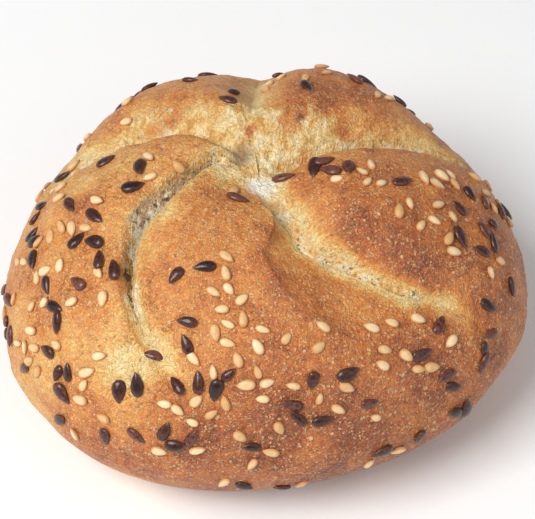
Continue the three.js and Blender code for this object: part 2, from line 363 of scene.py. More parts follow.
# The columns crowd towards the cuts.
def columnAngle(column, share):
    counts = [cut["columns"] for cut in cuts]
    petal = np.repeat(np.arange(len(cuts)), counts)[column]
    even = np.concatenate([np.arange(count) / count for count in counts])[column]
    across = even - crust["columnCrowding"] * np.sin(2 * math.pi * even) / (2 * math.pi)
    edges = np.array([cutAngle(index, share) for index in range(len(cuts) + 1)])
    low = np.take_along_axis(edges, petal[None], 0)[0]
    high = np.take_along_axis(edges, petal[None] + 1, 0)[0]
    return low + across * (high - low)


# Angle from the top of each row: close rows over the dome, wide rows down the belly.
def rowFromTop(row):
    top = crust["topEnds"] * row / crust["topRows"]
    side = crust["topEnds"] + (math.pi - crust["topEnds"]) * (row - crust["topRows"]) / crust["sideRows"]
    return np.minimum(np.where(row <= crust["topRows"], top, side), math.pi)


def makeCrust():
    columns = sum(cut["columns"] for cut in cuts)
    rows = crust["rows"]
    bpy.ops.mesh.primitive_uv_sphere_add(segments=columns, ring_count=rows, radius=1, location=(0, 0, 0))
    piece = bpy.context.object
    piece.name = "crust"
    piece.data.name = "crust"
    mesh = piece.data
    unit = np.empty(len(mesh.vertices) * 3)
    mesh.vertices.foreach_get("co", unit)
    unit = unit.reshape(-1, 3)
    row = np.round(np.arccos(np.clip(unit[:, 2], -1, 1)) / math.pi * rows)
    around = np.mod(np.arctan2(unit[:, 1], unit[:, 0]), 2 * math.pi)
    column = np.round(around / (2 * math.pi) * columns) % columns
    fromTop = rowFromTop(row)
    share = cutShare(fromTop)
    angle = columnAngle(column.astype(int), share)
    points = crustPoint(angle, fromTop)

    # the flat base closes in rings
    baseRow = crust["topRows"] + crust["sideRows"]
    closing = np.clip((rows - row) / (rows - baseRow), 0, 1)
    points[:2] *= closing
    points[2] = np.where(row >= baseRow, 0, points[2])

    place = placeInPetal(angle, fromTop)
    marks = markCrumb(points, place, angle)
    fade = 1 - ramp(equator, petals["reliefEnds"], fromTop)
    points = points + outwardFrom(angle, fromTop) * marks.pop("detail") * fade
    mesh.vertices.foreach_set("co", (points * mm).T.ravel())
    for name, values in marks.items():
        storeAttribute(mesh, name, values)
    mesh.update()
    bpy.ops.object.shade_smooth()
    return piece


# Round soft spots seen from above, added up.
def spotSum(spotList, points):
    total = 0
    for spot in spotList:
        squared = (points[0] - spot["x"]) ** 2 + (points[1] - spot["y"]) ** 2
        total = total + spot.get("by", 1) * np.exp(-squared / spot["width"] ** 2)
    return total


def storeAttribute(mesh, name, values):
    layer = mesh.attributes.new(name, "FLOAT", "POINT")
    layer.data.foreach_set("value", np.asarray(values, dtype=np.float32))


# Fine relief beside the cuts, and how toasted, torn, shaded or floury each point is. The toast value
# also holds painted shade on the sides away from the light.
def markCrumb(points, place, angle):
    noises = {
        "broad": noiseOf(points, crust["broadLength"]),
        "ragged": noiseOf(points, crust["raggedLength"], 7.3),
        "fine": noiseOf(points, crust["fineLength"], 3.1),
        "wrinkles": noiseOf(points, crust["wrinkleLength"], 11.7),
    }
    sides = {
        "after": (place["petal"], place["fromLow"]),
        "before": (place["following"], place["fromHigh"]),
    }
    island = np.minimum(1, spotSum(islands, points))
    pale = paleShare(place, sides, noises) * (1 - island)
    marks = tornShares(place, sides, noises)
    bare = bareShare(points, place, noises)
    marks["torn"] = np.maximum(marks["torn"], bare) * (1 - island)
    detail = crustDetail(points, place, noises, marks["torn"]) - marks.pop("hollow")
    return marks | {
        "detail": detail,
        "slitShadow": lineShare(slitShadow, place),
        "fringe": lineShare(fringe, place),
        "dimpleShadow": spotSum([dimpleShadow], points),
        "toastAndShade": toastAndShadeShare(place, angle, points) * (1 - pale) - crust["unbaked"] * pale,
        "flour": np.minimum(1, spotSum(flourSpots, points)),
    }


def edgeSway(name, noises):
    broad, ragged = edgeSways[name]
    return broad * noises["broad"] + ragged * noises["ragged"]


def paleShare(place, sides, noises):
    share = place["share"]
    pale = np.zeros(len(share))
    for side, (index, distance) in sides.items():
        near, far = pairAt(np.array([widths[side] for widths in paleSides], dtype=float), index)
        ends = np.array([widths["ends"] for widths in paleSides])[index]
        strength = np.array([widths["strength"] for widths in paleSides])[index]
        width = near + (far - near) * ramp(0.15, 0.6, share)
        reach = distance / width + edgeSway("pale", noises)
        fading = 1 - ramp(0.7 * ends, ends, share + 0.08 * noises["broad"])
        pale = np.maximum(pale, strength * (1 - ramp(0.05, 1.15, reach)) * fading)
    return pale


# The torn zones, ragged at their edges and narrower towards their ends.
def tornShares(place, sides, noises):
    share = place["share"]
    shares = {name: np.zeros(len(share)) for name in ("torn", "dark", "white", "hollow")}
    for zone in tornZones:
        cut, side = zone["at"]
        index, distance = sides[side]
        opens, closes = zone["span"]
        opening = ramp(opens - 0.03, opens + 0.05, share)
        closing = ramp(closes - 0.12, closes, share + 0.06 * noises["broad"])
        width = zone["width"] * (1 - 0.6 * closing)
        reach = distance / width + edgeSway("torn", noises)
        inside = (index == cut) * opening * (1 - ramp(0.2, 1, closing)) * (1 - ramp(0.45, 1.1, reach))
        shares["torn"] = np.maximum(shares["torn"], inside)
        for name in ("dark", "white", "hollow"):
            shares[name] = np.maximum(shares[name], inside * zone.get(name, 0))
    shares["hollow"] = shares["hollow"] * np.maximum(0, 0.7 + 0.8 * noises["ragged"])
    return shares


def bareShare(points, place, noises):
    bareRound = np.where(place["petal"] == frontPetal, bareMiddle["frontRound"], bareMiddle["round"])
    fromMiddle = np.hypot(points[0] - bareMiddle["x"], points[1] - bareMiddle["y"]) / bareRound
    return 1 - ramp(0.5, 1.15, fromMiddle + edgeSway("bare", noises))


def crustDetail(points, place, noises, torn):
    share = place["share"]
    ragged = noises["ragged"]
    strandPlaces = points.T * crust["strandScale"]
    strands = 1 - 3 * np.abs(noiseOf(strandPlaces.T, 1.0))
    detail = crust["fibreHeight"] * torn * strands
    detail = detail + crust["wrinkleHeight"] * noises["wrinkles"]
    detail = detail + crust["grainHeight"] * (noises["fine"] + ragged) * (0.7 + torn)
    detail = detail + bubble["height"] * spotSum([bubble], points) * (1 + 1.5 * ragged)

    # the tattered brim of the left cut
    fromBrim = place["fromHigh"] - flankWidth(leftCut, "before", share)
    brim = (place["following"] == leftCut) * np.exp(-(fromBrim / crust["brimWidth"]) ** 2)
    brim = brim * ramp(0.15, 0.25, share) * (1 - ramp(0.6, 0.8, share))
    return detail + crust["brimHeight"] * ragged * brim


# A scorched bubble on the left petal, and a grey painted shadow in the dimple at the middle.
bubble = {"x": -35.5, "y": -4.5, "width": 2.7, "height": 1.1}
dimpleShadow = {"x": -4.0, "y": 7.1, "width": 3.1}

# Two thin lines along the left cut: the dark slit that it runs out in, which is painted shadow, and white
# strands over it.
slitShadow = {"cut": leftCut, "width": 0.45, "aside": 0.5, "opens": (0.4, 0.48), "closes": (0.65, 0.8)}
fringe = {"cut": leftCut, "width": 1.0, "aside": 0.0, "opens": (0.24, 0.3), "closes": (0.52, 0.62)}


def lineShare(line, place):
    share = place["share"]
    along = ramp(*line["opens"], share) * (1 - ramp(*line["closes"], share))
    aside = line["aside"] * (1 - ramp(0.55, 0.75, share))
    across = np.exp(-((place["fromHigh"] - aside) / line["width"]) ** 2)
    return (place["following"] == line["cut"]) * along * across


# How brown the crust is, from 0 to 1: each petal's crest, the valleys between, and the sides below them.
# The swing of the sides, darkest towards sideDarkest, is browning and also painted shade on the side away
# from the light.
toast = {
    "crests": [0.70, 0.48, 0.44, 0.54, 0.70],
    "valleys": 0.38,
    "sides": 0.58,
    "sideToastAndShadeSwing": 0.2,
    "sideDarkest": -60,
    "ridgeToastAndShade": 0.2,
    "ridgeWidth": 2.2,
}

# Places that are browner or paler than the rest of their petal, as seen from above. The dark brow of the
# right petal is browning and also painted shade on the side away from the light.
toastSpots = [
    # the next three darken the brow of the right petal: browner, and darker as painted shade
    {"x": 21.0, "y": -17.0, "width": 7.0, "by": 0.16},  # the brow of the right petal
    {"x": 29.0, "y": -17.0, "width": 7.0, "by": 0.22},
    {"x": 33.0, "y": -23.0, "width": 6.0, "by": 0.10},
    {"x": 41.0, "y": -4.0, "width": 9.0, "by": -0.06},
    {"x": 17.0, "y": -1.0, "width": 7.0, "by": -0.12},
    {"x": 11.0, "y": -38.0, "width": 14.0, "by": 0.12},  # the front of the front petal
    {"x": -12.0, "y": -45.0, "width": 8.0, "by": 0.10},
    {"x": -25.0, "y": -37.5, "width": 7.0, "by": -0.28},  # the pale left front
    {"x": -40.0, "y": -33.5, "width": 6.0, "by": -0.22},
    {"x": -28.5, "y": -37.0, "width": 4.0, "by": -0.2},
    {"x": -32.0, "y": -42.0, "width": 4.0, "by": 0.06},
    {"x": -23.0, "y": -40.0, "width": 5.0, "by": -0.2},
    {"x": -15.5, "y": -35.0, "width": 4.0, "by": -0.1},
    {"x": -33.0, "y": -28.0, "width": 4.5, "by": 0.1},
    {"x": -8.0, "y": -46.0, "width": 7.0, "by": 0.08},
    {"x": -12.0, "y": 4.0, "width": 6.0, "by": -0.2},  # beside the left cut
    {"x": -33.0, "y": 4.0, "width": 8.0, "by": -0.18},
    {"x": -38.0, "y": -6.0, "width": 7.0, "by": 0.12},
    {"x": -50.0, "y": -20.0, "width": 9.0, "by": -0.14},
    {"x": -35.5, "y": -4.5, "width": 3.2, "by": 0.4},
    {"x": -47.5, "y": -30.0, "width": 6.0, "by": -0.14},
    {"x": -19.0, "y": -8.0, "width": 6.0, "by": 0.06},
    {"x": -30.0, "y": 24.0, "width": 8.0, "by": 0.12},
    {"x": -4.0, "y": -12.0, "width": 5.0, "by": -0.08},
    {"x": 15.0, "y": -8.0, "width": 5.0, "by": -0.08},
    {"x": -20.0, "y": 19.0, "width": 4.0, "by": 0.08},  # crust left between torn crumb
    {"x": -2.1, "y": 12.8, "width": 2.5, "by": 0.25},
    {"x": 8.1, "y": 15.0, "width": 1.3, "by": 0.35},
    {"x": 17.0, "y": 14.5, "width": 1.1, "by": 0.25},
    {"x": -15.5, "y": 14.5, "width": 1.2, "by": 0.35},
]


def toastAndShadeShare(place, angle, points):
    share = place["share"]
    crest = np.array(toast["crests"])[place["petal"]]
    crestness = np.sin(math.pi * place["across"]) ** 0.6
    top = toast["valleys"] + (crest - toast["valleys"]) * crestness
    # the sides swing darker towards sideDarkest: browning, and painted shade on the right side, away from
    # the light
    sides = toast["sides"] + toast["sideToastAndShadeSwing"] * np.cos(angle - toast["sideDarkest"] * degree)
    toastAndShade = top + (sides - top) * ramp(0.65, 1.0, share)

    # the ridge of the front petal beside its shelf: browner, and darker as painted shade on its slope
    fromRidge = (place["fromHigh"] - flankWidth(rightCut, "before", share)) / toast["ridgeWidth"]
    ridgeToastAndShade = (place["following"] == rightCut) * np.exp(-(fromRidge - 0.4) ** 2) * ramp(0.2, 0.35, share)
    toastAndShade = toastAndShade + toast["ridgeToastAndShade"] * ridgeToastAndShade * (1 - ramp(0.62, 0.8, share))
    return toastAndShade + spotSum(toastSpots, points)


# Flour at the middle and beside the left petal.
flourSpots = [
    {"x": 0.2, "y": -1.0, "width": 3.1, "by": 1.1},
    {"x": 4.2, "y": -6.0, "width": 2.0, "by": 0.3},
    {"x": -19.5, "y": 16.5, "width": 2.4, "by": 0.4},
]


def srgb(red, green, blue):
    channels = [value / 255 for value in (red, green, blue)]
    linear = [part / 12.92 if part <= 0.04045 else ((part + 0.055) / 1.055) ** 2.4 for part in channels]
    return linear + [1]


# Node helpers: an input is either a value or the socket that feeds it.
def addNode(tree, kind, inputs=None, **settings):
    made = tree.nodes.new(kind)
    for name, value in settings.items():
        setattr(made, name, value)
    for name, value in (inputs or {}).items():
        if isinstance(value, bpy.types.NodeSocket):
            tree.links.new(value, made.inputs[name])
        else:
            made.inputs[name].default_value = value
    return made


def mixColours(tree, factor, first, second):
    return addNode(tree, "ShaderNodeMix", {0: factor, 6: first, 7: second}, data_type="RGBA").outputs[2]


def mapRange(tree, value, low, high, toLow=0.0, toHigh=1.0):
    inputs = {"Value": value, "From Min": low, "From Max": high, "To Min": toLow, "To Max": toHigh}
    return addNode(tree, "ShaderNodeMapRange", inputs, interpolation_type="SMOOTHSTEP").outputs[0]


def maths(tree, operation, first, second=0.0):
    return addNode(tree, "ShaderNodeMath", {0: first, 1: second}, operation=operation).outputs[0]


def times(tree, first, second):
    return maths(tree, "MULTIPLY", first, second)


def addUp(tree, first, *others):
    total = first
    for other in others:
        total = maths(tree, "ADD", total, other)
    return total


# A noise round one half, made to sway from minus by to plus by.
def sway(tree, value, spread, by):
    return mapRange(tree, value, 0.5 - spread, 0.5 + spread, -by, by)


def attribute(tree, name):
    return addNode(tree, "ShaderNodeAttribute", attribute_name=name).outputs["Fac"]


def noiseTexture(tree, where, length, detail=2.0, roughness=0.5):
    inputs = {"Vector": where, "Scale": 1 / (length * mm), "Detail": detail, "Roughness": roughness}
    return addNode(tree, "ShaderNodeTexNoise", inputs).outputs[0]


def colourRamp(tree, value, stops):
    made = addNode(tree, "ShaderNodeValToRGB", {"Fac": value})
    elements = made.color_ramp.elements
    while len(elements) < len(stops):
        elements.new(0.5)
    for element, (position, colour) in zip(elements, stops):
        element.position = position
        element.color = colour
    return made.outputs[0]


crustLook = {
    "toasts": [
        (0.0, srgb(233, 212, 154)),
        (0.12, srgb(234, 195, 120)),
        (0.25, srgb(229, 173, 98)),
        (0.4, srgb(221, 149, 78)),
        (0.55, srgb(208, 127, 63)),
        (0.7, srgb(188, 107, 57)),
        (0.85, srgb(158, 87, 53)),
        (1.0, srgb(126, 67, 46)),
    ],
    "crumb": [
        (0.0, srgb(214, 158, 90)),
        (0.3, srgb(233, 190, 120)),
        (0.6, srgb(241, 211, 150)),
        (1.0, srgb(245, 226, 182)),
    ],
    "fleck": srgb(160, 106, 60),
    "chalk": srgb(230, 222, 198),
    # hollow, pit, slit and dimple are colours of painted shade
    "hollow": srgb(184, 158, 136),
    "pit": srgb(84, 56, 42),
    "slitShadow": srgb(92, 62, 44),
    "dimpleShadow": srgb(140, 116, 92),
    "flour": srgb(246, 238, 220),
    # blister also paints the highlights along the crinkles, and pore also paints the shade in creases and
    # folds
    "blister": srgb(246, 198, 142),
    "pore": srgb(140, 74, 46),
    "scorch": srgb(156, 80, 66),
    "fleckMix": 0.45,
    "blisterMix": 0.62,
    "poreMix": 0.5,
    "scorchMix": 0.5,
    "creaseShadeMix": 0.18,
    "foldShadeMix": 0.45,
    "chalkMix": 0.75,
    "patchLength": 9,
    "mottleLength": 1.6,
    "grainLength": 0.5,
    "crinkleLength": 1.3,
    "foldLength": 5,
    "wanderLength": 3.5,
    "crookedLength": 0.6,
    "holeLength": 1.5,
    "shine": 0.35,
    "roughness": 0.46,
    "tornRoughness": 0.9,
    "push": 0.0005,
    "widePush": 0.003,
    "bumpStrength": 0.85,
    "bumpHeight": 0.6,
}

# How far each noise makes the baking sway: its spread round one half, and by how much.
bakedSways = {"patches": (0.2, 0.12), "mottle": (0.2, 0.1), "grain": (0.15, 0.13)}

# Small spots: the gap between their places, their radius, and the share of the places that has one.
scatters = {
    "smallBlister": {"gap": 0.8, "radius": 0.36, "share": 0.8},
    "largeBlister": {"gap": 2.3, "radius": 0.6, "share": 0.35},
    "pore": {"gap": 1.7, "radius": 0.42, "share": 0.7},
    "scorch": {"gap": 8.0, "radius": 2.0, "share": 0.6},
    "pit": {"gap": 0.7, "radius": 0.36, "share": 0.9},
}

# How much each texture raises or sinks the surface.
bumpShares = {
    "mottle": 1.1,
    "grain": 0.5,
    "blister": 0.3,
    "crinkle": 0.3,
    "pore": -0.3,
    "fold": -0.8,
    "fibre": 0.9,
    "hole": -0.8,
}


# A scatter of small round spots: 1 in their middles and 0 between them.
def spots(tree, where, name):
    gap = scatters[name]["gap"]
    cell = {"Vector": where, "Scale": 1 / (gap * mm), "Randomness": 1.0}
    found = addNode(tree, "ShaderNodeTexVoronoi", cell)
    draw = addNode(tree, "ShaderNodeSeparateColor", {0: found.outputs["Color"]}).outputs[0]
    chosen = mapRange(tree, draw, 1 - scatters[name]["share"], 1)
    reach = scatters[name]["radius"] / gap
    nearness = maths(tree, "SUBTRACT", times(tree, chosen, reach), found.outputs["Distance"])
    return mapRange(tree, nearness, 0.0, 0.3 * reach)


# Thin crooked lines where a noise passes a level.
def linesAt(tree, value, level, width):
    apart = maths(tree, "ABSOLUTE", maths(tree, "SUBTRACT", value, level))
    return mapRange(tree, apart, 0.0, width, 1, 0)


# Noises and crooked coordinates that the skin and the crumb share.
def makeDoughTextures(tree):
    where = addNode(tree, "ShaderNodeTexCoord").outputs["Object"]
    crookedNoise = {"Vector": where, "Scale": 1 / (crustLook["crookedLength"] * mm), "Detail": 1.0}
    crooked = addNode(tree, "ShaderNodeTexNoise", crookedNoise).outputs["Color"]
    push = mixColours(tree, crustLook["push"], where, crooked)
    strandScale = tuple(share * 1.6 / mm for share in crust["strandScale"])
    pulled = addNode(tree, "ShaderNodeMapping", {"Vector": push, "Scale": strandScale}).outputs[0]
    strands = {"Vector": pulled, "Scale": 1.0, "Detail": 4.0, "Distortion": 0.8}
    return {
        "where": where,
        "push": push,
        "widePush": mixColours(tree, crustLook["widePush"], where, crooked),
        "patches": noiseTexture(tree, where, crustLook["patchLength"], 3),
        "mottle": noiseTexture(tree, where, crustLook["mottleLength"], 4, 0.6),
        "grain": noiseTexture(tree, where, crustLook["grainLength"], 3, 0.6),
        "wander": noiseTexture(tree, where, crustLook["wanderLength"], 3),
        "fibre": addNode(tree, "ShaderNodeTexNoise", strands).outputs[0],
    }


# The baked skin: shades of toast with blisters, pores and scorched spots, with painted highlights along
# short crinkles and painted shade in the creases beside them and in long folds.
def colourSkin(tree, dough):
    push = dough["push"]
    sways = [sway(tree, dough[name], spread, by) for name, (spread, by) in bakedSways.items()]
    toastAndShade = addUp(tree, attribute(tree, "toastAndShade"), *sways)
    small = spots(tree, push, "smallBlister")
    large = spots(tree, dough["where"], "largeBlister")
    blister = maths(tree, "MAXIMUM", small, large)
    pore = spots(tree, push, "pore")
    scorch = spots(tree, dough["widePush"], "scorch")

    # crinkles are light dashes, painted highlights, with a darker crease beside them, painted shade; the
    # long folds are dark lines of painted shade
    waves = noiseTexture(tree, dough["where"], crustLook["crinkleLength"], 2)
    crinkle = linesAt(tree, waves, 0.5, 0.045)
    creaseShade = linesAt(tree, waves, 0.42, 0.04)
    crinkleHighlights = times(tree, crinkle, mapRange(tree, dough["grain"], 0.45, 0.56))
    crinkleHighlights = times(tree, crinkleHighlights, mapRange(tree, toastAndShade, 0.5, 0.95, 0.95, 0.8))
    fold = linesAt(tree, noiseTexture(tree, push, crustLook["foldLength"], 4, 0.6), 0.5, 0.012)
    fold = times(tree, fold, mapRange(tree, dough["patches"], 0.48, 0.6, 0, crustLook["foldShadeMix"]))

    colour = colourRamp(tree, toastAndShade, crustLook["toasts"])
    colour = mixColours(tree, times(tree, blister, crustLook["blisterMix"]), colour, crustLook["blister"])
    colour = mixColours(tree, times(tree, pore, crustLook["poreMix"]), colour, crustLook["pore"])
    colour = mixColours(tree, times(tree, scorch, crustLook["scorchMix"]), colour, crustLook["scorch"])
    colour = mixColours(tree, crinkleHighlights, colour, crustLook["blister"])
    # painted shade in the creases and the folds
    colour = mixColours(tree, times(tree, creaseShade, crustLook["creaseShadeMix"]), colour, crustLook["pore"])
    colour = mixColours(tree, fold, colour, crustLook["pore"])
    return colour, {"blister": blister, "crinkle": crinkle, "pore": pore, "fold": fold}


# The crumb: pulled strands with brown flecks, floury near the cuts, grey and holed in the hollow of the
# left cut and pitted beside the right one. The grooves between the strands, the grey of the hollow, the
# holes and the pits are painted shade.
def colourCrumb(tree, dough):
    fibre = dough["fibre"]
    wander = dough["wander"]
    # paler strand tops and darker grooves: painted shade; the wandering noise varies the tone
    shade = addUp(
        tree,
        mapRange(tree, fibre, 0.3, 0.7, 0, 0.45),
        mapRange(tree, wander, 0.3, 0.7, -0.15, 0.6),
    )
    crumb = colourRamp(tree, shade, crustLook["crumb"])
    fleck = linesAt(tree, fibre, 0.42, 0.035)
    crumb = mixColours(tree, times(tree, fleck, crustLook["fleckMix"]), crumb, crustLook["fleck"])
    white = addUp(tree, attribute(tree, "white"), sway(tree, wander, 0.15, 0.2))
    chalky = mapRange(tree, white, 0.1, 0.8, 0, crustLook["chalkMix"])
    crumb = mixColours(tree, chalky, crumb, crustLook["chalk"])

    # grey hollow, dark holes and pits: painted shade in the recesses
    dark = attribute(tree, "dark")
    hollowShade = times(tree, mapRange(tree, dark, 0.5, 1.0, 0, 0.9), mapRange(tree, fibre, 0.44, 0.6, 1, 0.2))
    crumb = mixColours(tree, hollowShade, crumb, crustLook["hollow"])
    holes = noiseTexture(tree, dough["push"], crustLook["holeLength"], 3, 0.6)
    gaps = addUp(tree, holes, mapRange(tree, dark, 0.6, 1, -0.3, 0))
    hole = mapRange(tree, gaps, 0.56, 0.68, 0, 0.9)
    pitted = times(tree, mapRange(tree, dark, 0.1, 0.35), mapRange(tree, wander, 0.35, 0.5))
    pits = times(tree, spots(tree, dough["push"], "pit"), pitted)
    hole = maths(tree, "MAXIMUM", hole, times(tree, pits, 0.7))
    return mixColours(tree, hole, crumb, crustLook["pit"]), hole


# The painted shadow of the slit, the white strands, the painted grey shadow in the dimple and the flour
# that lie over skin and crumb.
def dressCuts(tree, dough, colour):
    fibre = dough["fibre"]
    # the dark slit colour is painted shadow in the crack
    slitShadowMask = mapRange(tree, attribute(tree, "slitShadow"), 0.2, 0.8)
    broken = times(tree, slitShadowMask, mapRange(tree, fibre, 0.4, 0.6, 0.25, 1))
    colour = mixColours(tree, broken, colour, crustLook["slitShadow"])
    strands = addUp(tree, attribute(tree, "fringe"), sway(tree, fibre, 0.15, 0.4))
    colour = mixColours(tree, mapRange(tree, strands, 0.35, 0.7, 0, 0.85), colour, crustLook["chalk"])
    # a grey painted shadow in the dent at the middle
    paintedDimpleShadow = mapRange(tree, attribute(tree, "dimpleShadow"), 0.1, 1.0, 0, 0.8)
    colour = mixColours(tree, paintedDimpleShadow, colour, crustLook["dimpleShadow"])
    flour = addUp(tree, attribute(tree, "flour"), sway(tree, dough["mottle"], 0.2, 0.12))
    return mixColours(tree, mapRange(tree, flour, 0.1, 0.95), colour, crustLook["flour"])


def makeCrustMaterial():
    material = bpy.data.materials.new("bakedCrust")
    material.use_nodes = True
    tree = material.node_tree
    shader = tree.nodes["Principled BSDF"]
    dough = makeDoughTextures(tree)
    skin, relief = colourSkin(tree, dough)
    crumb, hole = colourCrumb(tree, dough)
    edge = addUp(
        tree,
        attribute(tree, "torn"),
        sway(tree, dough["mottle"], 0.2, 0.22),
        sway(tree, dough["fibre"], 0.15, 0.15),
    )
    tornMask = mapRange(tree, edge, 0.1, 0.9)
    colour = dressCuts(tree, dough, mixColours(tree, tornMask, skin, crumb))
    tree.links.new(colour, shader.inputs["Base Color"])

    shader.inputs["Specular IOR Level"].default_value = crustLook["shine"]
    roughness = mapRange(tree, tornMask, 0, 1, crustLook["roughness"], crustLook["tornRoughness"])
    tree.links.new(roughness, shader.inputs["Roughness"])
    layers = {
        "mottle": dough["mottle"],
        "grain": dough["grain"],
        "fibre": times(tree, dough["fibre"], tornMask),
        "hole": times(tree, hole, tornMask),
    } | relief
    height = addUp(tree, *[times(tree, layers[name], share) for name, share in bumpShares.items()])
    bumpInputs = {
        "Height": height,
        "Strength": crustLook["bumpStrength"],
        "Distance": crustLook["bumpHeight"] * mm,
    }
    bump = addNode(tree, "ShaderNodeBump", bumpInputs)
    tree.links.new(bump.outputs[0], shader.inputs["Normal"])
    return material


print("baking the crust")
crustPiece = makeCrust()
crustPiece.data.materials.append(makeCrustMaterial())

# Sesame and linseed, lying a little sunk in the crust. sink is the share of the thickness below it,
# round and point shape the two ends, and hook bends the tip.
seedKinds = {
    "pale": {
        "length": 3.4, "width": 2.05, "thickness": 1.1, "sink": 0.25,
        "round": 0.48, "point": 0.75, "hook": 0.0,
    },
    "dark": {
        "length": 4.6, "width": 2.55, "thickness": 1.3, "sink": 0.2,
        "round": 0.45, "point": 0.8, "hook": 0.12,
    },
}
seedGap = 2.7
seedTries = 40
seedKeepsOut = 1.5  # no seed lies where the cuts are deeper than this
seedSizeSpread = 0.13
seedSways = {"roll": 0.5, "pitch": 0.3, "length": 0.16, "width": 0.2}  # how unlike the copies are
seedSeenFrom = 5  # millimetres above the crust, where the look down on it begins

# Sectors of the crust with how many seeds of each kind stick there, in the order they are strewn.
sprinkles = [
    {"from": 8, "to": 24, "near": 0.08, "far": 0.13, "pale": 0, "dark": 1},
    {"from": 210, "to": 240, "near": 0.1, "far": 0.16, "pale": 1, "dark": 1},
    {"from": -4, "to": 18, "near": 0.18, "far": 0.27, "pale": 0, "dark": 3},
    {"from": -10, "to": 6, "near": 0.28, "far": 0.44, "pale": 5, "dark": 1},
    {"from": -20, "to": 14, "near": 0.5, "far": 0.82, "pale": 13, "dark": 3},
    {"from": -18, "to": 4, "near": 0.76, "far": 1.02, "pale": 2, "dark": 6},
    {"from": -42, "to": -12, "near": 1.02, "far": 1.4, "pale": 1, "dark": 7},
    {"from": 0, "to": 18, "near": 0.9, "far": 1.25, "pale": 5, "dark": 2},
    {"from": 300, "to": 326, "near": 0.82, "far": 1.16, "pale": 9, "dark": 2},
    {"from": 276, "to": 302, "near": 0.95, "far": 1.3, "pale": 5, "dark": 6},
    {"from": 318, "to": 330, "near": 1.5, "far": 1.68, "pale": 0, "dark": 2},
    {"from": 295, "to": 312, "near": 1.55, "far": 1.75, "pale": 2, "dark": 2},
    {"from": 245, "to": 296, "near": 0.55, "far": 0.92, "pale": 14, "dark": 2},
    {"from": 236, "to": 258, "near": 0.28, "far": 0.62, "pale": 3, "dark": 2},
    {"from": 250, "to": 272, "near": 0.88, "far": 1.1, "pale": 7, "dark": 3},
    {"from": 244, "to": 278, "near": 1.12, "far": 1.5, "pale": 9, "dark": 4},
    {"from": 260, "to": 282, "near": 1.75, "far": 1.95, "pale": 2, "dark": 2},
    {"from": 226, "to": 250, "near": 0.92, "far": 1.18, "pale": 3, "dark": 4},
    {"from": 222, "to": 242, "near": 1.3, "far": 1.58, "pale": 2, "dark": 4},
    {"from": 202, "to": 228, "near": 0.95, "far": 1.4, "pale": 8, "dark": 6},
    {"from": 188, "to": 220, "near": 0.68, "far": 1.02, "pale": 12, "dark": 7},
    {"from": 168, "to": 194, "near": 0.62, "far": 1.1, "pale": 4, "dark": 6},
    {"from": 165, "to": 186, "near": 0.3, "far": 0.55, "pale": 3, "dark": 2},
    {"from": 184, "to": 215, "near": 1.15, "far": 1.5, "pale": 5, "dark": 5},
    {"from": 66, "to": 112, "near": 0.42, "far": 0.7, "pale": 3, "dark": 3},
    {"from": 26, "to": 88, "near": 0.6, "far": 1.3, "pale": 9, "dark": 8},
    {"from": 96, "to": 166, "near": 0.65, "far": 1.3, "pale": 8, "dark": 9},
    {"from": 10, "to": 176, "near": 1.3, "far": 1.7, "pale": 10, "dark": 8},
]


def makeDice(start):
    state = start
    while True:
        state = state * 16807 % 2147483647
        yield state / 2147483647


def scatterSeeds():
    dice = makeDice(41)
    seeds = []
    for sector in sprinkles:
        for kind in ("dark", "pale"):
            for wanted in range(sector[kind]):
                for attempt in range(seedTries):
                    angle = (sector["from"] + (sector["to"] - sector["from"]) * next(dice)) * degree
                    fromTop = sector["near"] + (sector["far"] - sector["near"]) * next(dice)
                    point = Vector(crustPoint(angle, fromTop))
                    if petalForm(np.float64(angle), np.float64(fromTop))[0] > seedKeepsOut:
                        continue
                    if any((seed["point"] - point).length < seedGap for seed in seeds):
                        continue
                    turn = math.pi * 2 * next(dice)
                    size = 1 + seedSizeSpread * (2 * next(dice) - 1)
                    normal = crustNormal(angle, fromTop)
                    seed = {"kind": kind, "point": point, "normal": normal, "turn": turn, "size": size}
                    seeds.append(seed)
                    break
    return seeds


# One seed, pointed end along +X, from a sphere of a few dozen faces.
def modelSeed(name, shape):
    bpy.ops.object.select_all(action="DESELECT")
    bpy.ops.mesh.primitive_uv_sphere_add(segments=9, ring_count=7, radius=1, location=(0, 0, 0))
    seed = bpy.context.object
    seed.name = name
    bpy.ops.object.mode_set(mode="EDIT")
    bpy.ops.mesh.select_all(action="SELECT")
    bpy.ops.transform.rotate(value=math.pi / 2, orient_axis="Y", center_override=(0, 0, 0))
    bpy.ops.object.mode_set(mode="OBJECT")
    ends = np.array([vertex.co.x for vertex in seed.data.vertices])
    ups = np.array([vertex.co.z for vertex in seed.data.vertices])
    peak = (shape["round"] - shape["point"]) / (shape["round"] + shape["point"])
    full = (1 + peak) ** shape["round"] * (1 - peak) ** shape["point"]
    for vertex, end in zip(seed.data.vertices, ends):
        around = math.hypot(vertex.co.y, vertex.co.z)
        girth = (1 + end) ** shape["round"] * (1 - end) ** shape["point"] / full
        girth = girth / around if around > 1e-4 else 0
        vertex.co.y = vertex.co.y * girth * shape["width"] / 2 * mm
        vertex.co.y += shape["hook"] * max(0, end) ** 2 * shape["width"] * mm
        vertex.co.z = vertex.co.z * girth * shape["thickness"] / 2 * mm
        vertex.co.x = end * shape["length"] / 2 * mm
    storeAttribute(seed.data, "seedEnd", ends)
    storeAttribute(seed.data, "seedUp", ups)
    bpy.ops.object.shade_smooth()
    return seed


